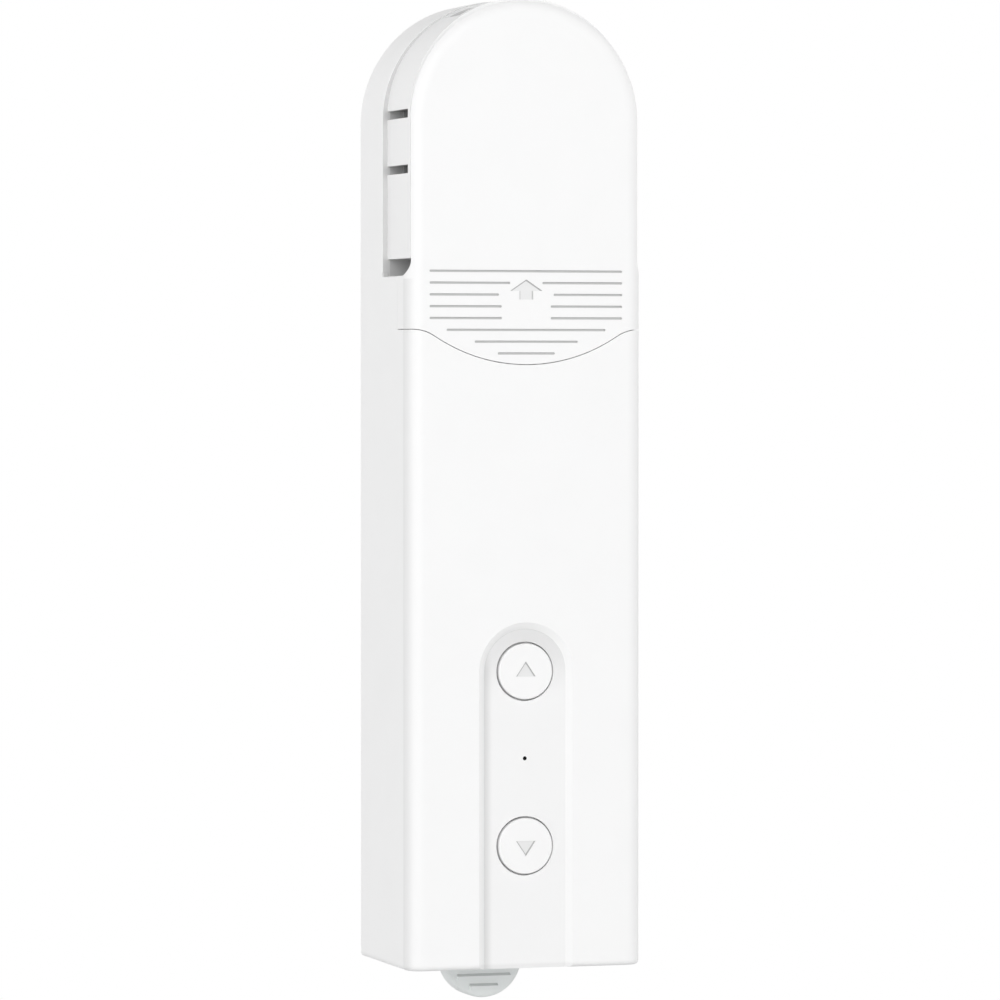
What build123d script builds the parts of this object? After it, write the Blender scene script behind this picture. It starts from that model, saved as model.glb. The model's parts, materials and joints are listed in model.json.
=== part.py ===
from build123d import *
from math import acos, atan2, cos, degrees, hypot, pi, radians, sin, sqrt, tan
import os

# Roller shade motor that hangs on a wall bracket and drives the bead chain of a shade.
# Millimetres. X is width, Y is depth with the wall at Y = 0 and the front face towards -Y, Z is up.
# The origin lies on the wall, midway between the two screw holes of the bracket.
# In this file a place is given as x, depth behind the front face, and height above the body's bottom.

# Body
body_width = 48.0
body_depth = 34.0
body_height = 189.5
wall_gap = 0.5
screw_line_height = 95.0
side_wall = 2.4
front_wall = 2.0
bottom_wall = 2.0
front_round = 3.3
bottom_round = 0.8
rear_round = 0.8

# Side groove, its floor panels and the pocket under them
groove_depth = 1.1
groove_crown_depth = 0.2
groove_front = 1.05
groove_rear = 18.0
groove_bottom = 135.1
groove_front_corner = 2.9
groove_rear_corner = 1.2
groove_edge_round = 0.25
pocket_height = 3.4
guide_wall = 1.5
guide_web = 1.5
guide_bore_gap = 0.6
side_slot_height = 1.7
side_slot_front = 3.9
side_slot_heights = (166.65, 155.85)

# Top cover and its seam
cover_plate = 2.0
cover_step = 1.4
cover_skirt = 0.8
skirt_depth = 7.25
skirt_gap = 0.08
seam_height = 124.75
seam_low = 117.9
seam_arc = 34.0
seam_blend = 8.0
seam_gap = 0.15
cover_clearance = 0.3
cover_lift = 12.0
rail_width = 1.4
rail_depth = 2.6
rail_margin = 0.5

# Ledge behind the seam, and the shelf and partition behind the chain chamber
lip_low = 112.0
lip_thickness = 1.5
shelf_thickness = 1.8
partition_thickness = 1.5

# Engraved lines and arrow on the cover: each line runs from a start to an end on both sides
line_width = 0.45
line_depth = 0.35
line_top = 136.0
line_pitch = 2.286
line_starts = (0, 3.5, 5.8, 5.2, 5.2, 0, 0, 0)
line_ends = (19.45, 19.45, 19.45, 19.45, 19.45, 16.0, 10.3, 5.6)
arrow_tip = 134.4
arrow_head = 2.2
arrow_half = 3.3
arrow_stem_half = 1.4
arrow_length = 3.9
arrow_depth = 0.25

# Button channel, buttons and indicator
channel_half = 9.6
channel_slope = 1.35
channel_depth = 1.0
channel_wall = 1.8
up_height = 58.0
down_height = 23.9
dot_height = 41.0
button_radius = 5.45
button_gap = 0.36
button_proud = 0.7
button_travel = 0.4
button_round = 0.3
flange_overlap = 1.1
flange_thickness = 0.7
flange_gap = 0.1
mark_half = 2.0
mark_rise = 2.95
mark_depth = 0.25
dot_radius = 0.4
pipe_radius = 1.3
pipe_inset = 0.05

# Bead chain and drive wheel
bead_diameter = 4.5
bead_pitch = 6.0
pockets = 10
pocket_clearance = 0.2
cord_radius = 0.9
wheel_height = 156.0
wheel_front = 5.4
wheel_width = 9.2
wheel_flange = 2.1
wheel_chamfer = 0.5
hub_radius = 3.6
hub_gutter = 2.6
gutter_depth = 1.5
trough_clearance = 0.8
trough_wall = 1.5
trough_front = 4.2
exit_clearance = 0.5
exit_front = 5.0
exit_rear = 15.0

# Gear train
motor_height = 102.0
pinion_teeth = 12
first_teeth = 60
second_teeth = 54
output_teeth = 48
first_module = 0.4
second_module = 0.5
output_module = 0.8
pressure = radians(20)
addendum = 0.9
dedendum = 1.15
backlash = 0.1
layer_gap = 0.3
first_face = 1.8
second_face = 1.8
output_face = 2.1
rim_thickness = 1.2
web_recess = 0.5
web_hub_share = 0.42
spokes = 6
spoke_hole = 3.9
spoke_shift = 0.4
plate_thickness = 1.0
plate_half = 20.4
plate_corner = 4.0
plate_margin = 1.0
pin_radius = 1.0
running_gap = 0.05
shaft_radius = 2.0
shaft_stand = 0.2
bush_radius = 3.6
pillar_radius = 1.9
pillar_inset = 2.4
pillar_rise = 4.0
pillar_drop = 3.5

# Motor
motor_radius = 12.2
motor_length = 12.3
motor_chamfer = 0.6
motor_boss = 3.0
rear_boss = 0.8
motor_shaft_radius = 1.0
motor_screw_reach = 8.5
lug_reach = 5.5
lug_half = 1.2
lug_thickness = 0.4
lug_length = 2.0
lug_drop = 6.0

# Power and electronics
cell_radius = 9.2
cell_length = 65.0
cell_bottom = 10.0
cell_gap = 0.8
cell_depth = 18.7
cell_chamfer = 0.7
cell_nub_radius = 2.9
cell_nub = 1.0
contact_thickness = 0.6
contact_half = 4.0
contact_overlap = 5.0
contact_leg_half = 1.0
cradle_thickness = 2.0
cradle_gap = 0.3
cradle_front_reach = 7.0
cradle_middle_reach = 3.0
cradle_heights = (22.0, 60.0)
board_front = 6.4
board_thickness = 1.6
board_half = 16.0
board_bottom = 6.0
board_top = 85.0
switch_size = 6.0
switch_height = 1.8
switch_floor = 0.4
plunger_radius = 1.6
plunger_gap = 0.1
lamp_size = 1.6
lamp_rise = 0.8
lamp_thickness = 0.7
chip_thickness = 0.9
chips = {
    "controller": (0.0, 55.5, 7.0, 7.0),
    "radio": (0.0, 68.0, 12.0, 12.0),
    "driver": (-8.75, 78.75, 4.5, 4.5),
    "charger": (0.0, 22.0, 4.0, 4.0),
}
socket_width = 9.0
socket_height = 3.2
socket_length = 7.3
socket_sheet = 0.3
socket_inset = 0.9
socket_gap = 0.3
socket_lift = 0.2
socket_back = 1.2
tongue_half = 3.3
tongue_thickness = 0.7
tongue_inset = 0.4
foot_inset = 1.6

# Screws and the bosses that they go into
screw_radius = 1.0
small_screw_radius = 0.7
board_screw_radius = 0.8
board_boss = 2.3
board_screw_bite = 3.0
board_screw_inset = 3.0
board_screw_rise = 6.0
board_head_radius = 1.8
board_head = 1.0
case_boss = 2.4
case_boss_edge = 0.5
case_boss_inset = 0.2
case_middle_height = 81.5
case_crown_turn = radians(38.7)
case_head_radius = 2.0
case_head = 1.2
case_head_gap = 0.2
case_screw_length = 8.0
case_slot = 0.4
guide_head_radius = 1.9
guide_head = 1.0
guide_screw_low = 8.0
guide_screw_high = 13.0
gearbox_head_radius = 1.5
gearbox_head = 0.9
gearbox_screw_bite = 3.4
motor_head_radius = 1.3
motor_head = 0.25
motor_screw_bite = 2.0
wheel_head_radius = 2.6
wheel_head = 1.4
wheel_screw_bite = 6.0

# Back cover, bracket and release tab
back_cover_front = 29.4
back_cover_thickness = 2.0
back_cover_gap = 0.2
bracket_half = 14.0
bracket_bottom = 6.0
bracket_top = 152.0
bracket_corner = 4.0
bracket_gap = 0.3
bracket_web = 1.2
wall_hole_spacing = 84.0
wall_hole_radius = 2.1
wall_head_radius = 4.2
stud_spacing = 18.0
stud_height = 138.0
stud_radius = 1.5
stud_head_radius = 3.0
stud_head = 1.0
stud_gap = 0.2
keyhole_drop = 6.0
tab_radius = 8.1
tab_centre = -0.5
tab_thickness = 4.9
tab_round = 0.6
tab_body_gap = 0.4
tab_travel = 4.0
tab_rear_gap = 1.2
rib_tops = (-4.2, -6.2)
rib_halves = (5.5, 2.9)
rib_width = 0.75
rib_slope = 0.45
rib_proud = 0.8
stem_half = 6.0
stem_top = 24.0
stem_thickness = 1.5
stem_gap = 0.4
bolt_half = 5.0
bolt_depth = 2.2
bolt_clear = 0.6
bolt_step = 1.6
bolt_gap = 0.3
keeper_height = 4.6
spring_top = 44.0
spring_strip = 0.8
spring_waves = 5
spring_inset = 2.2

# Places that follow from the values above
front_y = -(body_depth + wall_gap)
wall_depth = body_depth + wall_gap
arch_height = body_height - body_width / 2
cavity_half = body_width / 2 - side_wall
panel_half = body_width / 2 - groove_depth
pocket_top = groove_bottom + pocket_height
past_top = body_height + 10
channel_back = channel_depth + channel_wall
flange_front = channel_back + flange_gap
stem_front_depth = flange_front + flange_thickness
lip_rear = cover_plate + cover_clearance + lip_thickness
shelf_low = groove_bottom - shelf_thickness
web_front = groove_rear - guide_web
plate_front = groove_rear + partition_thickness
rail_low = pocket_top + rail_margin
rail_top = arch_height - cover_lift - rail_margin

pitch_radius = bead_pitch * pockets / (2 * pi)
wheel_radius = pitch_radius + wheel_flange
wheel_middle = wheel_front + wheel_width / 2
pocket_radius = bead_diameter / 2 + pocket_clearance
trough_inner = wheel_radius + trough_clearance
trough_outer = trough_inner + trough_wall
exit_half = (bead_diameter + exit_clearance) / 2
island_half = pitch_radius - exit_half

first_front = plate_front + plate_thickness + layer_gap
first_back = first_front + first_face
second_front = first_back + layer_gap
second_back = second_front + second_face
output_front = second_back + layer_gap
output_back = output_front + output_face
rear_plate_front = output_back + layer_gap
train_back = rear_plate_front + plate_thickness
motor_front = plate_front - motor_length
motor_place = (0.0, motor_height)
output_place = (0.0, wheel_height)
second_place = (0.0, wheel_height - output_module * (pinion_teeth + output_teeth) / 2)
first_reach = first_module * (pinion_teeth + first_teeth) / 2
second_reach = second_module * (pinion_teeth + second_teeth) / 2
train_span = second_place[1] - motor_height
first_rise = (first_reach ** 2 - second_reach ** 2 + train_span ** 2) / (2 * train_span)
first_place = (sqrt(first_reach ** 2 - first_rise ** 2), motor_height + first_rise)
plate_low = motor_height - motor_radius - plate_margin

board_rear = board_front + board_thickness
plunger_end = board_front - switch_floor - 2 * button_travel
cell_top = cell_bottom + cell_length
cell_x = cell_radius + cell_gap / 2
socket_depth = board_rear + socket_height / 2 + socket_lift
back_cover_rear = back_cover_front + back_cover_thickness
bracket_front = back_cover_rear + bracket_gap
stud_head_front = bracket_front + bracket_web + stud_gap
stem_rear = wall_depth - tab_rear_gap
stem_front = stem_rear - stem_thickness
tab_front = stem_rear - tab_thickness
bolt_rear = stem_front - bolt_step
bolt_front = bolt_rear - bolt_depth
bolt_height = tab_travel - bolt_clear


def both_sides(x, height):
    return ((-x, height), (x, height))


pillar_x = plate_half - pillar_inset
lower_pillars = both_sides(pillar_x, plate_low + pillar_rise)
upper_pillars = both_sides(pillar_x, shelf_low - pillar_drop)
pillar_places = lower_pillars + upper_pillars
motor_screw_places = both_sides(motor_screw_reach, motor_height)
board_screw_x = board_half - board_screw_inset
board_screw_places = both_sides(board_screw_x, board_bottom + board_screw_rise)
board_screw_places += both_sides(board_screw_x, board_top - board_screw_rise)
case_boss_x = cavity_half - case_boss - case_boss_inset
case_screw_places = both_sides(case_boss_x, bottom_wall + case_boss + case_boss_inset)
case_screw_places += both_sides(case_boss_x, case_middle_height)
case_crown_height = arch_height + case_boss_x * cos(case_crown_turn)
case_screw_places += both_sides(case_boss_x * sin(case_crown_turn), case_crown_height)
guide_screw_x = (trough_outer + panel_half - guide_wall) / 2
guide_screw_places = both_sides(guide_screw_x, wheel_height - guide_screw_low)
guide_screw_places += both_sides(guide_screw_x, wheel_height + guide_screw_high)


def drawing_plane(depth):
    """Plane for an outline drawn in x and height, at a depth behind the front face."""
    return Plane(origin=(0, front_y + depth, -screw_line_height), x_dir=(1, 0, 0), z_dir=(0, -1, 0))


def slab(outline, near, far):
    """Solid between two depths, from an outline drawn in x and height."""
    return extrude(drawing_plane(far) * outline, amount=far - near)


def bar(half, outline):
    """Solid across the width, from an outline drawn in depth and height."""
    face = Plane(origin=(-half, front_y, -screw_line_height), x_dir=(0, 1, 0), z_dir=(1, 0, 0)) * outline
    return extrude(face, amount=2 * half)


def at(x, depth, height):
    return Location((x, front_y + depth, height - screw_line_height))


def block(x0, x1, d0, d1, h0, h1):
    centre = at((x0 + x1) / 2, (d0 + d1) / 2, (h0 + h1) / 2)
    return centre * Box(x1 - x0, d1 - d0, h1 - h0)


def side_block(side, x0, x1, d0, d1, h0, h1):
    """Block whose x is given for the right side, put on the side that is asked for."""
    return block(*sorted((side * x0, side * x1)), d0, d1, h0, h1)


def disc(x, height, radius, near, far):
    return slab(Location((x, height)) * Circle(radius), near, far)


def post(x, depth, radius, low, high):
    return at(x, depth, (low + high) / 2) * Cylinder(radius, high - low)


def rect(x0, x1, h0, h1):
    return Location(((x0 + x1) / 2, (h0 + h1) / 2)) * Rectangle(x1 - x0, h1 - h0)


def holes(places, radius, near, far):
    """Round holes through everything between two depths."""
    return [disc(x, height, radius, near - 1, far + 1) for x, height in places]


def stroke(x0, h0, x1, h1, width):
    """Round-ended stroke between two points, drawn in x and height."""
    turn = degrees(atan2(h1 - h0, x1 - x0))
    middle = Location(((x0 + x1) / 2, (h0 + h1) / 2)) * Rotation(0, 0, turn)
    return middle * SlotCenterToCenter(hypot(x1 - x0, h1 - h0), width)


def arched(inset, low=0.0):
    """Body outline: straight sides under a half circle, drawn in by an inset."""
    half = body_width / 2 - inset
    return rect(-half, half, low, arch_height) + Location((0, arch_height)) * Circle(half)


def groove_outline(inset=0.0):
    """Floor of the groove: the body's outline drawn in, and raised so that it is shallow at the crown."""
    half = panel_half - inset
    centre = arch_height + groove_depth - groove_crown_depth
    return rect(-half, half, 0, centre) + Location((0, centre)) * Circle(half)


def envelope():
    """The whole body as one solid, with its rounded edges."""
    solid = slab(arched(0), 0, body_depth)
    front = solid.faces().sort_by(Axis.Y)[0]
    solid = fillet([e for e in front.edges() if e.center().Z > -screw_line_height], front_round)
    rear = solid.faces().sort_by(Axis.Y)[-1]
    solid = fillet([e for e in rear.edges() if e.center().Z > -screw_line_height], rear_round)
    base = solid.faces().sort_by(Axis.Z)[0]
    return fillet([e for e in base.edges() if e.center().Y < -wall_gap - rear_round], bottom_round)


def seam_region(grow=0.0):
    """Everything above the cover's lower edge, drawn in x and height."""
    above = rect(-body_width, body_width, seam_height, past_top)
    bowl = Location((0, seam_low + seam_arc)) * Circle(seam_arc)
    region = above + (bowl & rect(-body_width, body_width, 0, seam_height + 1))
    corners = [v for v in region.vertices() if abs(v.Y - seam_height) < 0.01 and abs(v.X) < body_width / 2]
    region = fillet(corners, seam_blend)
    return offset(region, grow) if grow else region


def groove_cut():
    """Groove in the side and crown, seen from the side, with its rounded lower corners."""
    outline = rect(groove_front, groove_rear, groove_bottom, past_top)
    rear_low = outline.vertices().sort_by(Axis.Y)[:2].sort_by(Axis.X)[1]
    outline = fillet(rear_low, groove_rear_corner)
    front_low = outline.vertices().sort_by(Axis.X)[:2].sort_by(Axis.Y)[0]
    return bar(body_width, fillet(front_low, groove_front_corner))


def channel_outline(half):
    """Straight sides under a half circle about the up button, open at the body's bottom."""
    return rect(-half, half, -1, up_height) + Location((0, up_height)) * Circle(half)


def channel_recess():
    """Shallow channel round the buttons, with sloping walls."""
    floor = drawing_plane(channel_depth) * channel_outline(channel_half - channel_slope)
    mouth = drawing_plane(0) * channel_outline(channel_half)
    return loft([floor.face(), mouth.face()], ruled=True)


def socket_outline(shrink=0.0):
    return SlotOverall(socket_width - 2 * shrink, socket_height - 2 * shrink)


def groove_edges(solid):
    """Outer edges of the groove: along the rear strip and round the pocket's mouth."""
    edges = []
    for edge in solid.edges():
        middle = edge.position_at(0.5)
        depth, height = middle.Y - front_y, middle.Z + screw_line_height
        outside = abs(hypot(middle.X, max(0, height - arch_height)) - body_width / 2) < 0.01
        along_strip = abs(depth - groove_rear) < 0.01 and height > groove_bottom
        round_mouth = groove_front < depth < groove_rear and groove_bottom - 0.01 < height < pocket_top
        if outside and (along_strip or round_mouth):
            edges.append(edge)
    return edges


def main_housing():
    """Deep tub with front, sides, crown strip and the partition behind the chain chamber."""
    solid = envelope() - channel_recess()
    lower = slab(rect(-cavity_half, cavity_half, bottom_wall, lip_low), front_wall, wall_depth)
    lower -= slab(channel_outline(channel_half + channel_wall), 0, channel_back)
    middle = slab(rect(-cavity_half, cavity_half, lip_low, shelf_low), lip_rear, wall_depth)
    upper = slab(arched(side_wall, shelf_low), plate_front, wall_depth)
    solid -= lower + middle + upper
    solid -= slab(rect(-panel_half, panel_half, groove_bottom, past_top), -1, groove_rear)
    solid -= groove_cut()
    solid -= slab(seam_region(seam_gap), -1, cover_plate + cover_clearance)
    for side in (-1, 1):
        skirt_high = groove_bottom + groove_front_corner
        solid -= side_block(side, body_width / 2 - cover_skirt - cover_clearance, body_width,
                            -1, skirt_depth + skirt_gap, seam_height - seam_gap, skirt_high)
    solid = fillet(groove_edges(solid), groove_edge_round)
    for x, height in case_screw_places:
        start = front_wall if height < shelf_low else groove_rear
        boss = disc(x, height, case_boss, start, back_cover_front)
        solid += boss & slab(arched(case_boss_edge, case_boss_edge), 0, body_depth)
        solid -= disc(x, height, screw_radius, back_cover_front - case_screw_length, back_cover_front)
    for x, height in board_screw_places:
        solid += disc(x, height, board_boss, front_wall, board_front)
        solid -= disc(x, height, board_screw_radius, board_front - board_screw_bite, board_front)
    solid -= holes(((0, up_height), (0, down_height)), button_radius + button_gap, 0, channel_back)
    solid -= holes([(0, dot_height)], dot_radius, 0, channel_back)
    solid -= holes([output_place], bush_radius, groove_rear, plate_front)
    solid -= holes(guide_screw_places, screw_radius, groove_rear, plate_front - 1)
    socket_way = Plane(at(0, socket_depth, -1)) * socket_outline(-socket_gap)
    solid -= extrude(socket_way, amount=bottom_wall + socket_gap + 1)
    solid -= block(-bolt_half - stem_gap, bolt_half + stem_gap, bolt_front - bolt_gap, bolt_rear + bolt_gap,
                   -1, bottom_wall + 1)
    return solid - block(-stem_half - stem_gap, stem_half + stem_gap, stem_front - bolt_gap, wall_depth,
                         -1, bottom_wall + 1)


def engraving():
    """Level lines, some cut short round the arrow."""
    lines = Sketch()
    for row, (start, end) in enumerate(zip(line_starts, line_ends)):
        height = line_top - row * line_pitch
        if start:
            lines += stroke(-end, height, -start, height, line_width)
            lines += stroke(start, height, end, height, line_width)
        else:
            lines += stroke(-end, height, end, height, line_width)
    return slab(lines, -1, line_depth)


def arrow_recess():
    neck = arrow_tip - arrow_head
    head = Polygon((-arrow_half, neck), (arrow_half, neck), (0, arrow_tip), align=None)
    stem = rect(-arrow_stem_half, arrow_stem_half, arrow_tip - arrow_length, neck)
    return slab(head + stem, -1, arrow_depth)


def top_cover():
    """Front plate with its rounded edge, two skirts under the groove and two rails inside."""
    solid = envelope()
    inner_half = body_width / 2 - cover_skirt
    solid -= slab(rect(-inner_half, inner_half, 0, past_top), cover_plate, body_depth)
    solid &= slab(seam_region(), -1, skirt_depth)
    solid -= groove_cut() - slab(arched(cover_step), -1, cover_plate)
    solid -= slab(rect(-body_width, body_width, pocket_top, past_top), cover_plate, body_depth)
    solid -= engraving()
    solid -= arrow_recess()
    rail_outer = panel_half - guide_wall - cover_clearance
    for side in (-1, 1):
        solid += side_block(side, rail_outer - rail_width, rail_outer, cover_plate,
                            cover_plate + rail_depth, rail_low, rail_top)
    return solid


def chain_guide():
    """Frame of the chain chamber: groove floor panels, trough under the wheel and crown exits."""
    front = cover_plate + cover_clearance
    outer = groove_outline() & rect(-body_width, body_width, pocket_top, past_top)
    solid = slab(outer - groove_outline(guide_wall), front, groove_rear) + slab(outer, web_front, groove_rear)
    trough = Location(output_place) * Circle(trough_outer)
    trough += rect(-trough_outer, trough_outer, wheel_height, past_top)
    trough -= Location(output_place) * Circle(trough_inner)
    trough -= rect(-trough_inner, trough_inner, wheel_height, past_top)
    solid += slab(trough & outer, trough_front, web_front)
    island = rect(-island_half, island_half, wheel_height + trough_inner, past_top) & outer
    island -= offset(island & groove_outline(guide_wall), -guide_wall)
    solid += slab(island, trough_front, web_front)
    for side in (-1, 1):
        solid -= side_block(side, pitch_radius - exit_half, pitch_radius + exit_half, exit_front, exit_rear,
                            wheel_height + trough_outer, past_top)
        for height in side_slot_heights:
            low, high = height - side_slot_height / 2, height + side_slot_height / 2
            solid -= side_block(side, panel_half - 2 * guide_wall, body_width,
                                side_slot_front, groove_rear + 1, low, high)
    solid -= holes([output_place], bush_radius + guide_bore_gap, web_front, groove_rear)
    return solid - holes(guide_screw_places, screw_radius, web_front, groove_rear)


def drive_wheel():
    """Beaded-chain wheel: round seats for the beads and a groove for the cord between them."""
    wheel_rear = wheel_front + wheel_width
    solid = disc(0, wheel_height, wheel_radius, wheel_front, wheel_rear)
    solid = chamfer(solid.edges().filter_by(GeomType.CIRCLE), wheel_chamfer)
    gutter = Location(output_place) * (Circle(hub_radius + hub_gutter) - Circle(hub_radius))
    solid -= slab(gutter, wheel_front - 1, wheel_front + gutter_depth)
    seats = Sketch()
    for index in range(pockets):
        turn = (index + 0.5) * 2 * pi / pockets
        outward = wheel_radius + pocket_radius
        seats += stroke(pitch_radius * sin(turn), wheel_height + pitch_radius * cos(turn),
                        outward * sin(turn), wheel_height + outward * cos(turn), 2 * pocket_radius)
    solid -= slab(seats, wheel_middle - pocket_radius, wheel_middle + pocket_radius)
    cord_way = Location(output_place) * (Circle(wheel_radius + 1) - Circle(pitch_radius - cord_radius))
    solid -= slab(cord_way, wheel_middle - cord_radius, wheel_middle + cord_radius)
    return solid - holes([output_place], shaft_radius, wheel_front, wheel_rear)


def screw(x, height, seat, tip, shank_radius, head_radius, head, slot=0.0):
    """Screw along the depth: a head on its seat and a shank that runs to the tip's depth."""
    away = -1 if tip > seat else 1
    top = seat + away * head
    solid = disc(x, height, head_radius, *sorted((seat, top)))
    if slot:
        long, half = head_radius * 0.6, slot / 2
        cross = rect(x - long, x + long, height - half, height + half)
        cross += rect(x - half, x + half, height - long, height + long)
        solid -= slab(cross, *sorted((top - away * slot, top + away)))
    return solid + disc(x, height, shank_radius, *sorted((seat, tip)))


def wheel_screw():
    return screw(*output_place, wheel_front, wheel_front + wheel_screw_bite, screw_radius, wheel_head_radius,
                 wheel_head)


def output_shaft():
    solid = disc(*output_place, shaft_radius, wheel_front, train_back + shaft_stand)
    return solid - disc(*output_place, screw_radius, wheel_front - 1, wheel_front + wheel_screw_bite)


def shaft_bushes():
    bushes = []
    for near, far in ((groove_rear, plate_front + plate_thickness), (rear_plate_front, train_back)):
        ring = disc(*output_place, bush_radius, near, far)
        bushes.append(ring - holes([output_place], shaft_radius + running_gap, near, far)[0])
    return Compound(bushes)


def involute(angle):
    return tan(angle) - angle


def gear_outline(teeth, module, phase):
    """Gear about the origin with a tooth centred at the phase angle, its flanks set on an involute."""
    pitch = module * teeth / 2
    base = pitch * cos(pressure)
    half_tooth = (pi / 2 - backlash / module) / teeth + involute(pressure)
    root = pitch - dedendum * module
    flank = []
    for radius in (root, pitch, pitch + addendum * module):
        flank.append((radius, half_tooth - involute(acos(min(1, base / radius)))))
    points = []
    for tooth in range(teeth):
        middle = phase + tooth * 2 * pi / teeth
        rising = [(radius, middle - half) for radius, half in flank]
        falling = [(radius, middle + half) for radius, half in reversed(flank)]
        points += [(radius * cos(angle), radius * sin(angle)) for radius, angle in rising + falling]
    return make_face(Polyline(points, close=True))


def mesh_phase(first_centre, first_count, first_phase, second_centre, second_count):
    """Phase that puts a space of the second gear on a tooth of the first, on their line of centres."""
    line = atan2(second_centre[1] - first_centre[1], second_centre[0] - first_centre[0])
    step = (line - first_phase) / (2 * pi / first_count) % 1.0
    return line + pi - (0.5 - step) * 2 * pi / second_count


def gear(place, teeth, module, phase, near, far):
    return slab(Location(place) * gear_outline(teeth, module, phase), near, far)


def compound_gear(place, teeth, module, phase, near, far, small_module, small_far):
    """A wheel with the next stage's pinion on its back, turning on a fixed pin."""
    solid = gear(place, teeth, module, phase, near, far)
    rim = module * teeth / 2 - dedendum * module - rim_thickness
    web = Location(place) * (Circle(rim) - Circle(rim * web_hub_share))
    solid -= slab(web, near - 1, near + web_recess)
    solid += gear(place, pinion_teeth, small_module, 0.0, far, small_far)
    return solid - disc(*place, pin_radius + running_gap, near - 1, small_far + 1)


def first_gear():
    phase = mesh_phase(motor_place, pinion_teeth, 0.0, first_place, first_teeth)
    return compound_gear(first_place, first_teeth, first_module, phase, first_front, first_back,
                         second_module, second_back)


def second_gear():
    phase = mesh_phase(first_place, pinion_teeth, 0.0, second_place, second_teeth)
    return compound_gear(second_place, second_teeth, second_module, phase, second_front, second_back,
                         output_module, output_back)


def output_gear():
    """The last wheel, fixed on the output shaft, with round holes in its web."""
    phase = mesh_phase(second_place, pinion_teeth, 0.0, output_place, output_teeth)
    solid = gear(output_place, output_teeth, output_module, phase, output_front, output_back)
    radius = (output_module * output_teeth / 2 + shaft_radius) / 2 + spoke_shift
    turns = [index * 2 * pi / spokes for index in range(spokes)]
    places = [(radius * sin(turn), wheel_height + radius * cos(turn)) for turn in turns]
    solid -= holes(places, spoke_hole, output_front, output_back)
    return solid - holes([output_place], shaft_radius, output_front, output_back)


def gear_pins():
    places = (first_place, second_place)
    return Compound([disc(*place, pin_radius, plate_front, train_back) for place in places])


def gearbox_plate(near):
    """Flat plate round the gear train, bored for the bush, the pins and the screws."""
    far = near + plate_thickness
    lower = rect(-plate_half, plate_half, plate_low, wheel_height)
    lower = fillet(lower.vertices().sort_by(Axis.Y)[:2], plate_corner)
    solid = slab(lower + Location(output_place) * Circle(plate_half), near, far)
    solid -= holes([output_place], bush_radius, near, far)
    solid -= holes([first_place, second_place], pin_radius, near, far)
    return solid - holes(pillar_places, small_screw_radius, near, far)


def gearbox_front_plate():
    solid = gearbox_plate(plate_front)
    solid -= holes([motor_place], motor_boss, plate_front, plate_front + plate_thickness)
    return solid - holes(motor_screw_places, small_screw_radius, plate_front, plate_front + plate_thickness)


def gearbox_rear_plate():
    return gearbox_plate(rear_plate_front)


def gearbox_pillars():
    near, far = plate_front + plate_thickness, rear_plate_front
    pillars = []
    for place in pillar_places:
        pillar = disc(*place, pillar_radius, near, far)
        pillars.append(pillar - holes([place], small_screw_radius, near, far)[0])
    return Compound(pillars)


def gearbox_screws():
    """Screws into both ends of the lower pillars, and into the rear ends of the upper ones."""
    sizes = (small_screw_radius, gearbox_head_radius, gearbox_head)
    front = [screw(*place, plate_front, plate_front + gearbox_screw_bite, *sizes) for place in lower_pillars]
    rear = [screw(*place, train_back, train_back - gearbox_screw_bite, *sizes) for place in pillar_places]
    return Compound(front + rear)


def drive_motor():
    """Flat geared-motor can with a boss at each end and two solder lugs."""
    can = disc(*motor_place, motor_radius, motor_front, plate_front)
    can = chamfer(can.edges().filter_by(GeomType.CIRCLE), motor_chamfer)
    can += disc(*motor_place, motor_boss, motor_front - rear_boss, motor_front)
    can += disc(*motor_place, motor_boss, plate_front, plate_front + plate_thickness)
    for x, height in motor_screw_places:
        can -= disc(x, height, small_screw_radius, plate_front - motor_screw_bite, plate_front + 1)
    lug_top = motor_height - lug_drop
    for side in (-1, 1):
        can += side_block(side, lug_reach - lug_half, lug_reach + lug_half,
                          motor_front - lug_length, motor_front, lug_top - lug_thickness, lug_top)
    return can - holes([motor_place], motor_shaft_radius + running_gap, motor_front - 1, plate_front + 1)[0]


def motor_shaft():
    return disc(*motor_place, motor_shaft_radius, motor_front - layer_gap, first_back + shaft_stand)


def motor_pinion():
    solid = gear(motor_place, pinion_teeth, first_module, 0.0, first_front, first_back)
    return solid - holes([motor_place], motor_shaft_radius, first_front, first_back)[0]


def motor_screws():
    seat = plate_front + plate_thickness
    tip = plate_front - motor_screw_bite
    return Compound([screw(*place, seat, tip, small_screw_radius, motor_head_radius, motor_head)
                     for place in motor_screw_places])


def battery_cells():
    """Two round cells side by side, each with a raised pole on top."""
    cells = []
    for x in (-cell_x, cell_x):
        cell = post(x, cell_depth, cell_radius, cell_bottom, cell_top - cell_nub)
        cell = chamfer(cell.edges().filter_by(GeomType.CIRCLE), cell_chamfer)
        cells.append(cell + post(x, cell_depth, cell_nub_radius, cell_top - cell_nub, cell_top))
    return Compound(cells)


def battery_contacts():
    """One plate under both cells, and a plate on each pole with a leg to the board."""
    depths = (cell_depth - contact_half, cell_depth + contact_half)
    reach = cell_x + contact_overlap
    plates = [block(-reach, reach, *depths, cell_bottom - contact_thickness, cell_bottom)]
    for x in (-cell_x, cell_x):
        top = (cell_top, cell_top + contact_thickness)
        plate = block(x - contact_half, x + contact_half, *depths, *top)
        plates.append(plate + block(x - contact_leg_half, x + contact_leg_half, board_rear, depths[0], *top))
    return Compound(plates)


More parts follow.
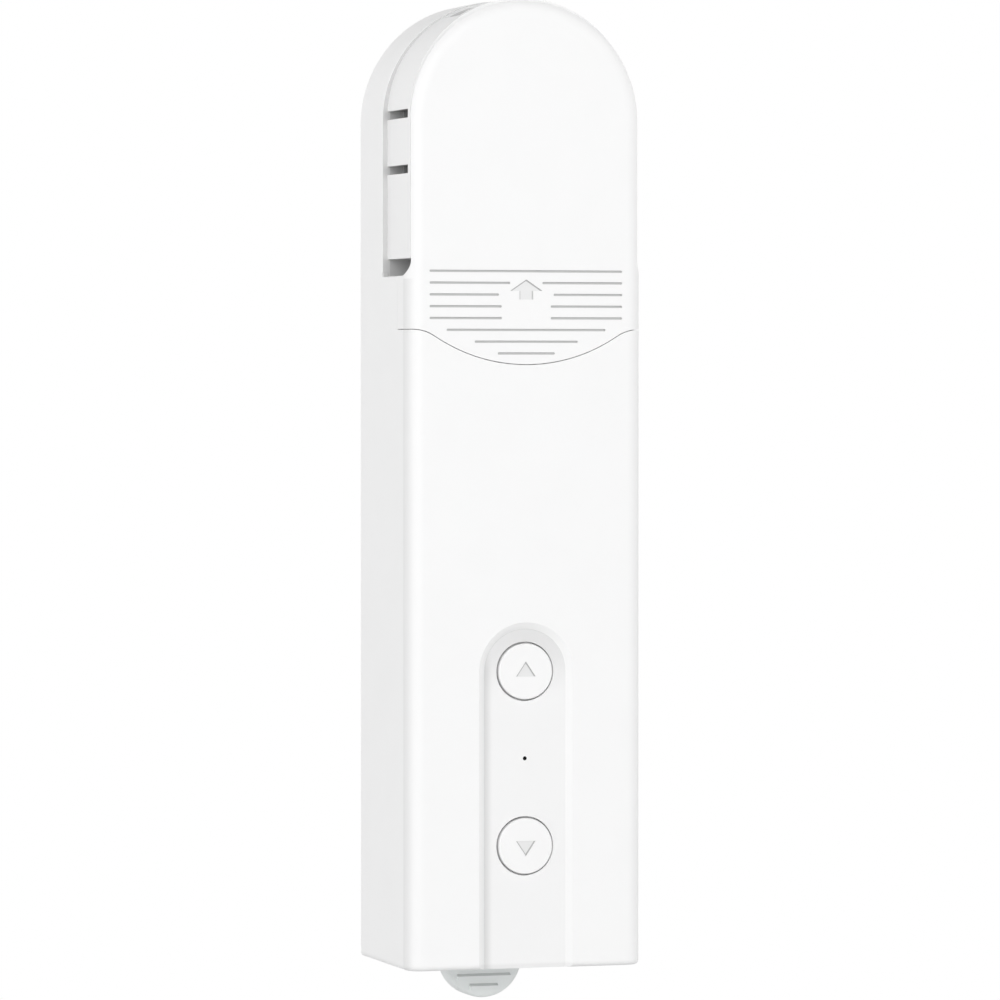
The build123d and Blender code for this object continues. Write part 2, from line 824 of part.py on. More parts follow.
def battery_cradle():
    """Two ribs across the body, cut to the cells' round and open between them."""
    ribs = []
    for height in cradle_heights:
        top = height + cradle_thickness
        rib = block(-cavity_half, cavity_half, cell_depth - cradle_front_reach, back_cover_front, height, top)
        for x in (-cell_x, cell_x):
            rib -= post(x, cell_depth, cell_radius + cradle_gap, height - 1, top + 1)
        rib -= block(-cell_x, cell_x, 0, cell_depth + cradle_middle_reach, height - 1, top + 1)
        ribs.append(rib)
    return Compound(ribs)


def circuit_board():
    board = slab(rect(-board_half, board_half, board_bottom, board_top), board_front, board_rear)
    return board - holes(board_screw_places, board_screw_radius, board_front, board_rear)


def board_screws():
    return Compound([screw(*place, board_rear, board_front - board_screw_bite, board_screw_radius,
                           board_head_radius, board_head) for place in board_screw_places])


def board_chips():
    solids = []
    for x, height, width, length in chips.values():
        outline = rect(x - width / 2, x + width / 2, height - length / 2, height + length / 2)
        solids.append(slab(outline, board_rear, board_rear + chip_thickness))
    return Compound(solids)


def charging_socket():
    """Sheet shell with a tongue, standing on the board and opening through the bottom wall."""
    low = bottom_wall - socket_inset
    plane = Plane(at(0, socket_depth, low))
    shell = extrude(plane * socket_outline(), amount=socket_length)
    shell -= extrude(plane * socket_outline(socket_sheet), amount=socket_length - socket_back)
    half = tongue_thickness / 2
    tongue = block(-tongue_half, tongue_half, socket_depth - half, socket_depth + half,
                   low + tongue_inset, low + socket_length - socket_back)
    foot_half = socket_width / 2 - foot_inset
    foot = block(-foot_half, foot_half, board_rear, socket_depth, board_bottom, low + socket_length)
    return shell + tongue + (foot - extrude(plane * socket_outline(), amount=socket_length))


def button(height, sign):
    """Round cap with a flange behind the wall and a triangle sunk in its face, its tip up or down."""
    face = channel_depth - button_proud
    solid = disc(0, height, button_radius, face, stem_front_depth)
    rim = solid.edges().filter_by(GeomType.CIRCLE).sort_by(Axis.Y)[0]
    solid = fillet(rim, button_round)
    solid += disc(0, height, button_radius + flange_overlap, flange_front, stem_front_depth)
    base = height - sign * mark_rise / 3
    side = sign * mark_half
    mark = Polygon((-side, base), (side, base), (0, base + sign * mark_rise), align=None)
    return solid - slab(mark, face - 1, face + mark_depth)


def up_button():
    return button(up_height, 1)


def down_button():
    return button(down_height, -1)


def plunger(height):
    return disc(0, height, plunger_radius, stem_front_depth, plunger_end)


def up_plunger():
    return plunger(up_height)


def down_plunger():
    return plunger(down_height)


def switch_bodies():
    half = switch_size / 2
    bodies = []
    for height in (up_height, down_height):
        body = slab(rect(-half, half, height - half, height + half), board_front - switch_height, board_front)
        well = plunger_radius + plunger_gap
        bodies.append(body - disc(0, height, well, 0, board_front - switch_floor))
    return Compound(bodies)


def indicator_led():
    outline = rect(-lamp_size / 2, lamp_size / 2, dot_height - lamp_rise / 2, dot_height + lamp_rise / 2)
    return slab(outline, board_front - lamp_thickness, board_front)


def light_pipe():
    """Thin end in the wall's hole, and a thicker stretch that stands on the lamp."""
    pipe = disc(0, dot_height, dot_radius, channel_depth + pipe_inset, channel_back)
    return pipe + disc(0, dot_height, pipe_radius, channel_back, board_front - lamp_thickness)


def back_cover():
    """Rear plate inside the walls, ribbed in front, with two studs for the bracket's keyholes."""
    near, far = back_cover_front, back_cover_rear
    solid = slab(arched(side_wall + back_cover_gap, bottom_wall + back_cover_gap), near, far)
    for x, height in case_screw_places:
        solid -= disc(x, height, screw_radius, near - 1, far + 1)
        solid -= disc(x, height, case_head_radius + case_head_gap, far - case_head, far + 1)
    for x in (-stud_spacing / 2, stud_spacing / 2):
        solid += disc(x, stud_height, stud_radius, far, stud_head_front)
        solid += disc(x, stud_height, stud_head_radius, stud_head_front, stud_head_front + stud_head)
    return solid - block(-bolt_half - stem_gap, bolt_half + stem_gap, near - 1, far + 1, 0, keeper_height)


def case_screws():
    seat = back_cover_rear - case_head
    tip = back_cover_front - case_screw_length
    return Compound([screw(*place, seat, tip, screw_radius, case_head_radius, case_head, case_slot)
                     for place in case_screw_places])


def guide_screws():
    return Compound([screw(*place, web_front, plate_front, screw_radius, guide_head_radius, guide_head)
                     for place in guide_screw_places])


def wall_bracket():
    """Flat wall plate with countersunk holes, keyholes for the studs and a way for the release tab."""
    near, far = bracket_front, wall_depth
    outline = rect(-bracket_half, bracket_half, bracket_bottom, bracket_top)
    solid = slab(fillet(outline.vertices(), bracket_corner), near, far)
    sink = wall_head_radius - wall_hole_radius
    for side in (-1, 1):
        height = screw_line_height + side * wall_hole_spacing / 2
        solid -= disc(0, height, wall_hole_radius, near - 1, far + 1)
        cone = Rotation(90, 0, 0) * Cone(wall_hole_radius, wall_head_radius, sink)
        solid -= at(0, near + sink / 2, height) * cone
    top = stud_height + keyhole_drop
    for x in (-stud_spacing / 2, stud_spacing / 2):
        slot = stroke(x, stud_height, x, top, 2 * (stud_radius + bracket_gap))
        entry = Location((x, top)) * Circle(stud_head_radius + bracket_gap)
        solid -= slab(slot + entry, near - 1, far + 1)
        room = stroke(x, stud_height, x, top, 2 * (stud_head_radius + bracket_gap))
        solid -= slab(room, near + bracket_web, far + 1)
    half = stem_half + bracket_gap
    return solid - slab(rect(-half, half, bracket_bottom - 1, spring_top), near - 1, stem_rear + bracket_gap)


def release_tab():
    """Half-disc grip below the body with two finger ribs, a bolt for the bottom wall and a flat stem."""
    grip = Location((0, tab_centre)) * Circle(tab_radius)
    grip &= rect(-tab_radius, tab_radius, tab_centre - tab_radius, -tab_body_gap)
    solid = slab(grip, tab_front, stem_rear)
    front = solid.faces().sort_by(Axis.Y)[0]
    solid = fillet([e for e in front.edges() if e.geom_type == GeomType.CIRCLE], tab_round)
    for top, half in zip(rib_tops, rib_halves):
        crest, foot = tab_front - rib_proud, tab_front + tab_round
        low, high = top - rib_width, top + rib_slope
        corners = ((crest, low), (foot, low), (foot, high), (tab_front, high), (crest, top))
        solid += bar(half, Polygon(*corners, align=None))
    solid += block(-stem_half, stem_half, stem_front, stem_rear, -1, stem_top)
    return solid + block(-bolt_half, bolt_half, bolt_front, bolt_rear, -1, bolt_height)


def tab_spring():
    """Flat wave spring between the stem and the end of its way."""
    low, high = stem_top + spring_strip / 2, spring_top - spring_strip / 2
    rise = (high - low) / (2 * spring_waves)
    reach = stem_half - spring_inset
    turns = [(reach if index % 2 else -reach, low + index * rise) for index in range(1, 2 * spring_waves)]
    points = [(0.0, low)] + turns + [(0.0, high)]
    strip = Sketch()
    for (x0, h0), (x1, h1) in zip(points, points[1:]):
        strip += stroke(x0, h0, x1, h1, spring_strip)
    middle = (stem_front + stem_rear) / 2
    return slab(strip, middle - spring_strip / 2, middle + spring_strip / 2)


pieces = (
    main_housing, back_cover, case_screws, top_cover, chain_guide, guide_screws,
    drive_wheel, wheel_screw, output_shaft, output_gear, shaft_bushes, second_gear, first_gear, gear_pins,
    gearbox_front_plate, gearbox_rear_plate, gearbox_pillars, gearbox_screws,
    drive_motor, motor_shaft, motor_pinion, motor_screws,
    battery_cells, battery_contacts, battery_cradle,
    circuit_board, board_screws, board_chips, charging_socket, switch_bodies, indicator_led, light_pipe,
    up_button, down_button, up_plunger, down_plunger,
    wall_bracket, release_tab, tab_spring,
)

os.makedirs("parts", exist_ok=True)
for make in pieces:
    export_step(make(), f"parts/{make.__name__}.step")
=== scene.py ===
import json
import math
import bpy
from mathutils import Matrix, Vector


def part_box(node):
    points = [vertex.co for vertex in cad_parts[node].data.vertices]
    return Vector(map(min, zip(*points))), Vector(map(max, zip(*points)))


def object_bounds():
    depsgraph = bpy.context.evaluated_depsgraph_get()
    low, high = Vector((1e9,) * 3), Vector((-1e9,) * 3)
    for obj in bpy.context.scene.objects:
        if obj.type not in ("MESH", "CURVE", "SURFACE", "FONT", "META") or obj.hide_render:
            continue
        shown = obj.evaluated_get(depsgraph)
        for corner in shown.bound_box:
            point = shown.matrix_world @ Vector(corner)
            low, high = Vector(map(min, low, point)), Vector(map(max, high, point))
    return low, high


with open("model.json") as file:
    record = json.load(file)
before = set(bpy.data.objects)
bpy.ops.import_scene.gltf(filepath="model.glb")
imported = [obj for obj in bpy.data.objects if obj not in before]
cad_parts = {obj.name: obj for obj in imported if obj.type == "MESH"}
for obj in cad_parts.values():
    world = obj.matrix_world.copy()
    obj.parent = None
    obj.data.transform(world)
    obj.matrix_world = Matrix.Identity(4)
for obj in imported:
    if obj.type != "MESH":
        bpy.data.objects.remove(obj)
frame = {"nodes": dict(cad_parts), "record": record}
cad_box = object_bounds()

MM = 0.001
LEFT_SIDE, FRONT_FACE, BODY_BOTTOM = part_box("main_housing")[0]

# The camera, fitted to the outline and the front's details: a long lens to the left of the front
PHOTO_SIDE = 1000
FOCAL_PIXELS = 5814.7
TURN = math.radians(17.344)
TILT = math.radians(1.2765)
FRONT_DISTANCE = 1132.7 * MM
SIDE_SHIFT = 5.136 * MM
CAMERA_HEIGHT = 116.7 * MM
SENSOR_WIDTH = 36.0
FAR_END = 20


def add_camera():
    """Camera placed from the front face, whose middle it sees a little right of its axis."""
    away = Vector((-math.sin(TURN), -math.cos(TURN), 0)) * FRONT_DISTANCE
    side = Vector((-math.cos(TURN), math.sin(TURN), 0)) * SIDE_SHIFT
    data = bpy.data.cameras.new("camera")
    data.sensor_width = SENSOR_WIDTH
    data.lens = FOCAL_PIXELS / PHOTO_SIDE * SENSOR_WIDTH
    data.clip_end = FAR_END
    camera = bpy.data.objects.new("camera", data)
    camera.location = away + side + Vector((0, FRONT_FACE, BODY_BOTTOM + CAMERA_HEIGHT))
    camera.rotation_euler = (math.pi / 2 - TILT, 0, -TURN)
    bpy.context.scene.collection.objects.link(camera)
    bpy.context.scene.camera = camera


class Nodes:
    """A material's node tree, with short calls to add and join nodes."""

    def __init__(self, name):
        self.material = bpy.data.materials.new(name)
        self.material.use_nodes = True
        self.tree = self.material.node_tree
        self.shader = self.tree.nodes["Principled BSDF"]
        self.output = self.tree.nodes["Material Output"]
        self.place = self.add("ShaderNodeTexCoord").outputs["Object"]

    def add(self, kind, **values):
        """New node of a kind, with its settings."""
        node = self.tree.nodes.new(kind)
        for key, value in values.items():
            setattr(node, key, value)
        return node

    def join(self, source, target):
        """Link from an output to an input."""
        self.tree.links.new(source, target)

    def coordinates(self):
        """The outputs of x, y and z in the object's space."""
        split = self.add("ShaderNodeSeparateXYZ")
        self.join(self.place, split.inputs[0])
        return split.outputs

    def noise(self, per_metre, detail, stretch=None):
        """Soft noise from nought to one, stretched along the axes where that is asked for."""
        node = self.add("ShaderNodeTexNoise")
        node.inputs["Scale"].default_value = per_metre
        node.inputs["Detail"].default_value = detail
        place = self.place
        if stretch:
            mapping = self.add("ShaderNodeMapping")
            mapping.inputs["Scale"].default_value = stretch
            self.join(self.place, mapping.inputs["Vector"])
            place = mapping.outputs["Vector"]
        self.join(place, node.inputs["Vector"])
        return node.outputs["Fac"]

    def spread(self, source, low, high):
        """The source's range of nought to one, laid between two values."""
        node = self.add("ShaderNodeMapRange")
        node.inputs["To Min"].default_value = low
        node.inputs["To Max"].default_value = high
        self.join(source, node.inputs["Value"])
        return node.outputs["Result"]

    def shades(self, source, dark, light):
        """Colour from dark to light by the source."""
        ramp = self.add("ShaderNodeValToRGB")
        ramp.color_ramp.elements[0].color = (*dark, 1)
        ramp.color_ramp.elements[1].color = (*light, 1)
        self.join(source, ramp.inputs["Fac"])
        return ramp.outputs["Color"]

    def calculate(self, operation, first, second=None, third=None):
        """A sum on node outputs or plain numbers."""
        node = self.add("ShaderNodeMath", operation=operation)
        for index, value in enumerate((first, second, third)):
            if isinstance(value, (int, float)):
                node.inputs[index].default_value = value
            elif value is not None:
                self.join(value, node.inputs[index])
        return node.outputs[0]

    def between(self, source, low, high):
        """One where the source lies between two values."""
        return self.calculate("COMPARE", source, (low + high) / 2, (high - low) / 2)

    def ramp(self, source, start, end):
        """Nought at one value and one at another, with a smooth way between them."""
        node = self.add("ShaderNodeMapRange", interpolation_type="SMOOTHSTEP")
        node.inputs["From Min"].default_value = start
        node.inputs["From Max"].default_value = end
        self.join(source, node.inputs["Value"])
        return node.outputs["Result"]

    def inside(self, low, high):
        """One between two corners given in metres in the object's space, and nought outside."""
        mask = 1.0
        for source, start, end in zip(self.coordinates(), low, high):
            mask = self.calculate("MULTIPLY", mask, self.between(source, start, end))
        return mask

    def fading(self, low, high, ramps):
        """One within a box, with a smooth way from nought to one along each of the given axes."""
        mask = self.inside(low, high)
        place = self.coordinates()
        for axis, start, end in ramps:
            mask = self.calculate("MULTIPLY", mask, self.ramp(place[axis], start, end))
        return mask

    def below(self, start_z, full_z):
        """Nought at one height and one under another, with a smooth way between them."""
        return self.ramp(self.coordinates()[2], start_z, full_z)

    def within_arch(self, depths, centre_z, radius, bottom_z):
        """One inside an upright arch: straight sides up to a centre's height, a half circle above."""
        x, y, z = self.coordinates()
        rise = self.calculate("MAXIMUM", self.calculate("SUBTRACT", z, centre_z), 0.0)
        squares = self.calculate("MULTIPLY_ADD", rise, rise, self.calculate("MULTIPLY", x, x))
        mask = self.calculate("LESS_THAN", squares, radius * radius)
        mask = self.calculate("MULTIPLY", mask, self.calculate("GREATER_THAN", z, bottom_z))
        return self.calculate("MULTIPLY", mask, self.between(y, *depths))

    def beside(self, low, high, start, end, width):
        """One in a box and near a line through two points of x and z, and near the line's mirror image."""
        place = self.coordinates()
        run, rise = end[0] - start[0], end[1] - start[1]
        length = math.hypot(run, rise)
        x = self.calculate("SUBTRACT", self.calculate("ABSOLUTE", place[0]), start[0])
        z = self.calculate("SUBTRACT", place[2], start[1])
        across = self.calculate("MULTIPLY", x, rise / length)
        across = self.calculate("MULTIPLY_ADD", z, -run / length, across)
        near = self.calculate("LESS_THAN", self.calculate("ABSOLUTE", across), width)
        return self.calculate("MULTIPLY", near, self.inside(low, high))

    def side_edge(self, widths, depths, top_z):
        """One on the outer part of the round between front and side, under a height, fading both ways."""
        x, y, z = self.coordinates()
        mask = self.calculate("MULTIPLY", self.ramp(x, *widths), self.ramp(y, *depths))
        return self.calculate("MULTIPLY", mask, self.calculate("LESS_THAN", z, top_z))

    def darkened(self, colour, mask, factor):
        """The colour, multiplied by the factor where the mask is one."""
        mix = self.add("ShaderNodeMix", data_type="RGBA", blend_type="MULTIPLY")
        sockets = {socket.identifier: socket for socket in mix.inputs}
        self.join(mask, sockets["Factor_Float"])
        self.join(colour, sockets["A_Color"])
        sockets["B_Color"].default_value = (factor, factor, factor, 1)
        return next(socket for socket in mix.outputs if socket.identifier == "Result_Color")

    def bump(self, source, height_mm):
        """Fine relief of a height in millimetres."""
        node = self.add("ShaderNodeBump")
        node.inputs["Distance"].default_value = height_mm * MM
        self.join(source, node.inputs["Height"])
        return node.outputs["Normal"]


def tinted(colour, factor):
    return tuple(min(1.0, c * factor) for c in colour)


GRAIN_SIZE = 0.35 * MM
GRAIN_DEPTH_MM = 0.004
MOTTLE = 0.012
SHEEN_SPREAD = 0.05


def moulded(name, colour, roughness=0.42, specular=0.4, painted_shading=()):
    """Moulded plastic: fine spark texture, slow changes of sheen and a faint cloud in the colour.

    Each entry of painted shading is a mask of Nodes, its values, and a factor for the colour inside it:
    painted shade where the factor is under one, painted light where it is over one.
    """
    n = Nodes(name)
    cloud = n.noise(per_metre=90, detail=3)
    base = n.shades(cloud, tinted(colour, 1 - MOTTLE), tinted(colour, 1 + MOTTLE))
    for mask, values, factor in painted_shading:
        base = n.darkened(base, mask(n, *values), factor)
    n.join(base, n.shader.inputs["Base Color"])
    sheen = n.noise(per_metre=240, detail=4)
    sheen = n.spread(sheen, roughness - SHEEN_SPREAD, roughness + SHEEN_SPREAD)
    n.join(sheen, n.shader.inputs["Roughness"])
    grain = n.noise(per_metre=1 / GRAIN_SIZE, detail=2)
    n.join(n.bump(grain, GRAIN_DEPTH_MM), n.shader.inputs["Normal"])
    n.shader.inputs["Specular IOR Level"].default_value = specular
    return n.material


SCRATCH_STRETCH = (1, 1, 14)
SCRATCH_DEPTH_MM = 0.002
METAL_ROUGHNESS = (0.22, 0.4)


def metal(name, colour):
    """Plated or turned metal with fine drawn lines."""
    n = Nodes(name)
    lines = n.noise(per_metre=900, detail=4, stretch=SCRATCH_STRETCH)
    n.join(n.shades(lines, tinted(colour, 0.9), tinted(colour, 1.05)), n.shader.inputs["Base Color"])
    n.join(n.spread(lines, *METAL_ROUGHNESS), n.shader.inputs["Roughness"])
    n.join(n.bump(lines, SCRATCH_DEPTH_MM), n.shader.inputs["Normal"])
    n.shader.inputs["Metallic"].default_value = 1.0
    return n.material


def clear(name, colour):
    """Smooth pale plastic with a faint cloud."""
    n = Nodes(name)
    cloud = n.noise(per_metre=400, detail=2)
    n.join(n.shades(cloud, tinted(colour, 0.9), colour), n.shader.inputs["Base Color"])
    n.join(n.spread(cloud, 0.12, 0.2), n.shader.inputs["Roughness"])
    return n.material


def region(widths, depths, heights):
    """Corners in metres of a box in millimetres: x, depth behind the front, height above the bottom."""
    return [
        (width * MM, FRONT_FACE + depth * MM, BODY_BOTTOM + height * MM)
        for width, depth, height in zip(widths, depths, heights)
    ]


# Width in millimetres of the painted shade along a recessed mark's edge.
EDGE_SHADE_WIDTH = 0.24


def edge(start, end, depths):
    """Values of the narrow band along a mark's edge between two points, in millimetres, at its depths,
    where painted shade outlines the mark.
    """
    outer = end[0] + EDGE_SHADE_WIDTH
    box = region((-outer, outer), depths, sorted((start[1], end[1])))
    ends = [(x * MM, BODY_BOTTOM + height * MM) for x, height in (start, end)]
    return *box, *ends, EDGE_SHADE_WIDTH * MM


ARCH_CENTRE = 165.5


def chamber(depths, radius, bottom, lift=0.0):
    """Values of the arch that the shell's inside fills between two depths, in millimetres."""
    depths = [FRONT_FACE + depth * MM for depth in depths]
    centre_z = BODY_BOTTOM + ARCH_CENTRE * MM + lift * MM
    return depths, centre_z, radius * MM, BODY_BOTTOM + bottom * MM


# Painted shade on the shell: where its colour is darkened to stand in for shade, in millimetres: x from
# the middle, depth behind the front face and height above the bottom. The last number of each tint
# multiplies the colour.
# Painted shade: a darker band along the left round between front and side, standing in for a dark
# reflection there.
EDGE_WIDTHS = (LEFT_SIDE + 1.5 * MM, LEFT_SIDE + 0.1 * MM)
EDGE_DEPTHS = (FRONT_FACE + 4.0 * MM, FRONT_FACE + 2.9 * MM)
EDGE_TOP = BODY_BOTTOM + 134.5 * MM
left_edge_painted_shade = (Nodes.side_edge, (EDGE_WIDTHS, EDGE_DEPTHS, EDGE_TOP), 0.89)

FIELD_WIDTHS = (-20.5, 20.5)
FIELD_HEIGHTS = (117, 139)
LINE_DEPTHS = (0.27, 0.6)
ARROW_DEPTHS = (0.03, 0.27)
ARROW_TIP = (0, 134.4)
ARROW_CORNER = (3.3, 132.2)
STEM_TOP = (1.4, 132.2)
STEM_FOOT = (1.4, 130.5)
COVER_INSIDE = chamber((2.1, 8), radius=22.6, bottom=112)
# Painted shade on the cover: darker in the engraved lines, in the arrow's recess and along its edges, and
# on the cover's inside.
cover_painted_shade = (
    left_edge_painted_shade,
    (Nodes.inside, region(FIELD_WIDTHS, LINE_DEPTHS, FIELD_HEIGHTS), 0.6),
    (Nodes.inside, region(FIELD_WIDTHS, ARROW_DEPTHS, FIELD_HEIGHTS), 0.9),
    (Nodes.beside, edge(ARROW_TIP, ARROW_CORNER, ARROW_DEPTHS), 0.6),
    (Nodes.beside, edge(STEM_TOP, STEM_FOOT, ARROW_DEPTHS), 0.75),
    (Nodes.within_arch, COVER_INSIDE, 0.8),
)

MARK_WIDTHS = (-2.2, 2.2)
MARK_DEPTHS = (0.33, 0.8)
UP_MARK_HEIGHTS = (54, 62)
UP_MARK_SIDE = ((0, 59.97), (2, 57.02))
DOWN_MARK_HEIGHTS = (20, 28)
DOWN_MARK_SIDE = ((0, 21.93), (2, 24.88))
# Painted shade on the keys: darker in each recessed triangle and darker still along its edges.
key_painted_shade = (
    (Nodes.inside, region(MARK_WIDTHS, MARK_DEPTHS, UP_MARK_HEIGHTS), 0.87),
    (Nodes.inside, region(MARK_WIDTHS, MARK_DEPTHS, DOWN_MARK_HEIGHTS), 0.87),
    (Nodes.beside, edge(*UP_MARK_SIDE, MARK_DEPTHS), 0.65),
    (Nodes.beside, edge(*DOWN_MARK_SIDE, MARK_DEPTHS), 0.65),
)

# Painted shade in the channel round the keys: its floor a touch darker, darker towards its top and towards
# the left wall's foot,
# and its left and top wall darker.
CHANNEL_HEIGHTS = (-1, 68)
FLOOR_WIDTHS = (-8.4, 8.4)
FLOOR_DEPTHS = (0.95, 1.05)
FLOOR_TOP_HEIGHTS = (50, 68)
WALL_WIDTHS = (-9.7, 6.0)
WALL_DEPTHS = (0.1, 0.99)
X, Y, Z = range(3)
shade_towards_top = ((Z, BODY_BOTTOM + 52 * MM, BODY_BOTTOM + 66 * MM),)
shade_towards_left_foot = (
    (X, -6.4 * MM, -8.3 * MM),
    (Z, BODY_BOTTOM + 64 * MM, BODY_BOTTOM + 57 * MM),
)
shade_down_left_wall = (
    (X, 5 * MM, -2 * MM),
    (Y, FRONT_FACE + 0.3 * MM, FRONT_FACE + 1.0 * MM),
)
# Painted shade on the round under the bottom edge, darker towards the bottom.
LOWER_ROUND_SHADE = (BODY_BOTTOM + 1.2 * MM, BODY_BOTTOM + 0.5 * MM)
# Painted shade on the front-facing step at the back of the side grooves and in the pockets at their foot.
BODY_HALF = 24.1
POCKET_FLOOR = 21
GROOVE_STEP_DEPTHS = (17.9, 18.05)
GROOVE_HEIGHTS = (135.3, 190)
POCKET_DEPTHS = (1, 17.9)
POCKET_HEIGHTS = (135.0, 138.6)
# Painted shade on the housing's inside behind the cover.
HOUSING_INSIDE = chamber((4.5, 33.9), radius=22.4, bottom=2.1)
# Painted shade on the housing: its colour darkened where shade falls, each entry below saying where.
housing_painted_shade = (
    left_edge_painted_shade,
    # Painted shade in the channel: on its floor, towards its top, at the left wall's foot and on the wall.
    (Nodes.inside, region(FLOOR_WIDTHS, FLOOR_DEPTHS, CHANNEL_HEIGHTS), 0.97),
    (Nodes.fading, (*region(FLOOR_WIDTHS, FLOOR_DEPTHS, FLOOR_TOP_HEIGHTS), shade_towards_top), 0.83),
    (Nodes.fading, (*region(FLOOR_WIDTHS, FLOOR_DEPTHS, CHANNEL_HEIGHTS), shade_towards_left_foot), 0.78),
    (Nodes.fading, (*region(WALL_WIDTHS, WALL_DEPTHS, CHANNEL_HEIGHTS), shade_down_left_wall), 0.94),
    # Painted shade under the bottom edge.
    (Nodes.below, LOWER_ROUND_SHADE, 0.92),
    # Painted shade on the groove's step and in its pockets.
    (Nodes.inside, region((-BODY_HALF, BODY_HALF), GROOVE_STEP_DEPTHS, GROOVE_HEIGHTS), 0.7),
    (Nodes.inside, region((-BODY_HALF, -POCKET_FLOOR), POCKET_DEPTHS, POCKET_HEIGHTS), 0.75),
    (Nodes.inside, region((POCKET_FLOOR, BODY_HALF), POCKET_DEPTHS, POCKET_HEIGHTS), 0.75),
    (Nodes.within_arch, HOUSING_INSIDE, 0.8),
)

# Painted shade in the chain guide's slots and exits: darker inside the arch, and darker still deeper in.
GUIDE_DEPTHS = (4.5, 18.1)
GUIDE_BOTTOM = 138.7
GUIDE_LIFT = 0.9
guide_painted_shade = tuple(
    (Nodes.within_arch, chamber(GUIDE_DEPTHS, radius, GUIDE_BOTTOM, GUIDE_LIFT), factor)
    for radius, factor in ((22.6, 0.75), (21.4, 0.6))
)

# Painted light and shade on the grip's ledges: a darker slope above each ledge and a lighter crest below
# it.
GRIP_FRONT = (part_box("release_tab")[0][1] - FRONT_FACE) / MM
GRIP_DEPTHS = (GRIP_FRONT, GRIP_FRONT + 0.9)
LEDGES = ((5.5, -4.2), (2.9, -6.2))
SLOPE_RISE = 0.45
CREST_DROP = 0.75
grip_painted_light_and_shade = tuple(
    (Nodes.inside, region((-half, half), GRIP_DEPTHS, heights), factor)
    for half, top in LEDGES
    for heights, factor in (((top, top + SLOPE_RISE), 0.75), ((top - CREST_DROP, top), 1.2))
)

WHITE = (0.92, 0.92, 0.92)
materials = {
    "white_shell": moulded("white_shell", WHITE),
    "grey_plastic": moulded("grey_plastic", (0.78, 0.805, 0.8), roughness=0.5),
    "dark_plastic": moulded("dark_plastic", (0.03, 0.03, 0.032), roughness=0.45),
    "steel": metal("steel", (0.6, 0.6, 0.61)),
    "gear_plastic": moulded("gear_plastic", (0.8, 0.78, 0.7), roughness=0.35),
    "brass": metal("brass", (0.72, 0.55, 0.25)),
    "board_green": moulded("board_green", (0.03, 0.2, 0.1), roughness=0.3),
    "cell_wrap": moulded("cell_wrap", (0.05, 0.28, 0.4), roughness=0.25),
    "clear_plastic": clear("clear_plastic", (0.8, 0.82, 0.84)),
}
shaded = {
    "top_cover": moulded("white_cover", WHITE, painted_shading=cover_painted_shade),
    "up_button": moulded("white_keys", WHITE, painted_shading=key_painted_shade),
    "main_housing": moulded("white_housing", WHITE, painted_shading=housing_painted_shade),
    "chain_guide": moulded("white_guide", WHITE, painted_shading=guide_painted_shade),
    "light_pipe": moulded("smoked_plastic", (0.008, 0.008, 0.008), roughness=0.7, specular=0.05),
    # The grip's grey is a touch lighter than grey_plastic: painted light against the shade under the body.
    "release_tab": moulded("grey_grip", (0.82, 0.846, 0.841), roughness=0.5, painted_shading=grip_painted_light_and_shade),
}
shaded["down_button"] = shaded["up_button"]
for part in frame["record"]["subparts"]:
    name = part["node"]
    data = frame["nodes"][name].data
    data.materials.clear()
    data.materials.append(shaded.get(name, materials[part["material_slot"]]))


def seen_directly(tree):
    """One for rays from the camera, alone or by way of a reflection or a clear piece."""
    path = tree.nodes.new("ShaderNodeLightPath")
    total = path.outputs["Is Camera Ray"]
    for kind in ("Is Glossy Ray", "Is Transmission Ray"):
        add = tree.nodes.new("ShaderNodeMath")
        add.operation = "ADD"
        add.use_clamp = True
        tree.links.new(total, add.inputs[0])
        tree.links.new(path.outputs[kind], add.inputs[1])
        total = add.outputs[0]
    return total


FLOOR_DROP = 1.0
FLOOR_HALF = 6.0
FLOOR_WHITE = 0.9
FLOOR_ROUGHNESS = 0.9


def floor_paint():
    """Pale paint that the camera and the reflections see as white."""
    n = Nodes("floor_paint")
    n.shader.inputs["Base Color"].default_value = (FLOOR_WHITE, FLOOR_WHITE, FLOOR_WHITE, 1)
    n.shader.inputs["Roughness"].default_value = FLOOR_ROUGHNESS
    glow = n.add("ShaderNodeEmission")
    glow.inputs["Strength"].default_value = 1.0
    mix = n.add("ShaderNodeMixShader")
    n.join(seen_directly(n.tree), mix.inputs["Fac"])
    n.join(n.shader.outputs[0], mix.inputs[1])
    n.join(glow.outputs[0], mix.inputs[2])
    n.join(mix.outputs[0], n.output.inputs["Surface"])
    return n.material


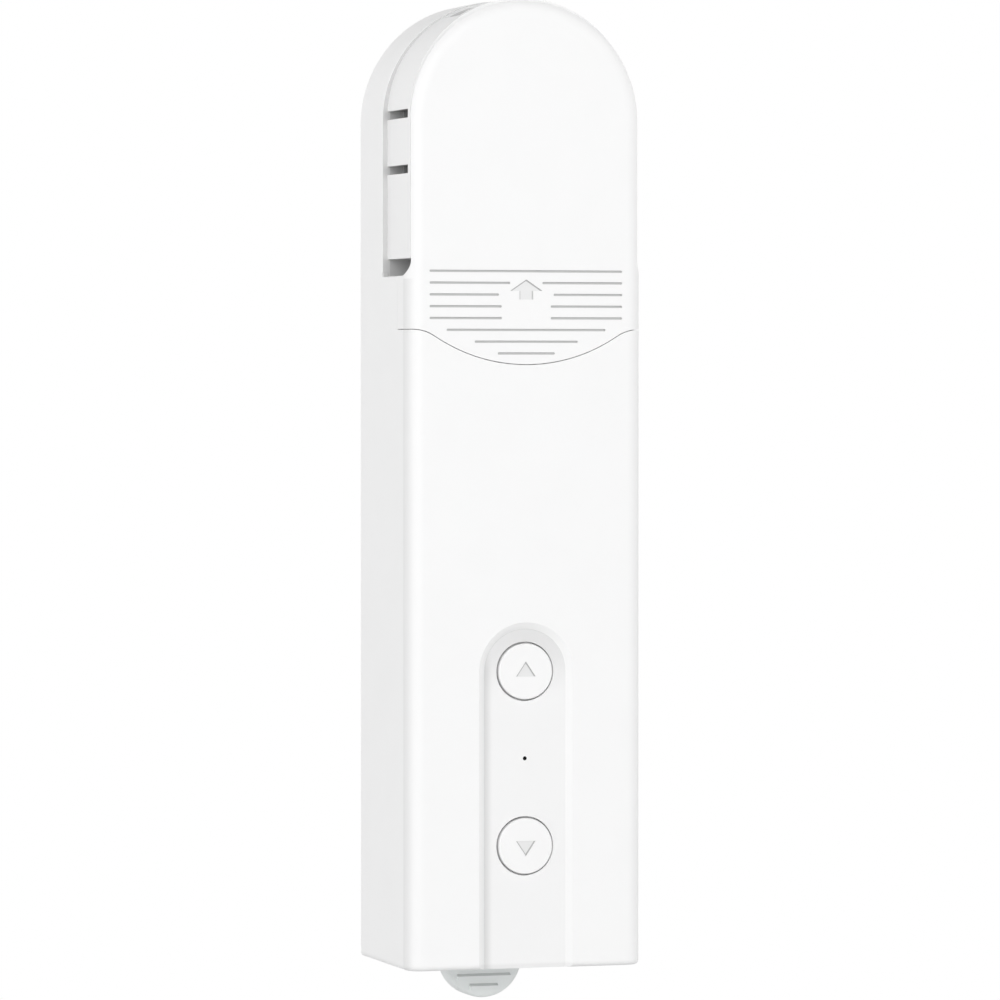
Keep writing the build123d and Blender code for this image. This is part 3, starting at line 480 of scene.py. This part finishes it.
def add_floor():
    """Wide plain floor, well below the object."""
    mesh = bpy.data.meshes.new("floor")
    z = cad_box[0][2] - FLOOR_DROP
    turns = ((-1, -1), (1, -1), (1, 1), (-1, 1))
    corners = [(x * FLOOR_HALF, y * FLOOR_HALF, z) for x, y in turns]
    mesh.from_pydata(corners, [], [(0, 1, 2, 3)])
    mesh.materials.append(floor_paint())
    floor = bpy.data.objects.new("floor", mesh)
    bpy.context.scene.collection.objects.link(floor)


LEVEL_LIGHT = 1.5
OVERHEAD_LIGHT = 0.0


def add_world():
    """White for the camera, and a light for the object that falls off from level to overhead."""
    world = bpy.data.worlds.new("world")
    bpy.context.scene.world = world
    world.use_nodes = True
    tree = world.node_tree
    back = tree.nodes["Background"]
    back.inputs["Color"].default_value = (1, 1, 1, 1)
    split = tree.nodes.new("ShaderNodeSeparateXYZ")
    place = tree.nodes.new("ShaderNodeTexCoord")
    tree.links.new(place.outputs["Generated"], split.inputs[0])
    overhead = tree.nodes.new("ShaderNodeMapRange")
    overhead.inputs["To Min"].default_value = LEVEL_LIGHT
    overhead.inputs["To Max"].default_value = OVERHEAD_LIGHT
    tree.links.new(split.outputs["Z"], overhead.inputs["Value"])
    strength = tree.nodes.new("ShaderNodeMapRange")
    strength.inputs["To Max"].default_value = 1.0
    tree.links.new(seen_directly(tree), strength.inputs["Value"])
    tree.links.new(overhead.outputs["Result"], strength.inputs["To Min"])
    tree.links.new(strength.outputs["Result"], back.inputs["Strength"])


def add_softbox(name, azimuth, elevation, distance, size, power):
    """Square area lamp that faces the object's middle, turned to the right of the front by its azimuth."""
    side, rise = math.radians(azimuth), math.radians(elevation)
    middle = Vector((0, (cad_box[0][1] + cad_box[1][1]) / 2, 0))
    level = math.cos(rise)
    towards = Vector((math.sin(side) * level, -math.cos(side) * level, math.sin(rise)))
    data = bpy.data.lights.new(name, "AREA")
    data.shape = "SQUARE"
    data.size = size
    data.energy = power
    lamp = bpy.data.objects.new(name, data)
    lamp.location = middle + towards * distance
    lamp.rotation_euler = towards.to_track_quat("Z", "Y").to_euler()
    bpy.context.scene.collection.objects.link(lamp)


add_camera()
add_floor()
add_world()
add_softbox("key_softbox", azimuth=-24, elevation=15, distance=1.7, size=0.9, power=8.2)
add_softbox("top_softbox", azimuth=-10, elevation=75, distance=1.6, size=0.8, power=0.2)
bpy.context.scene.view_settings.view_transform = "Standard"
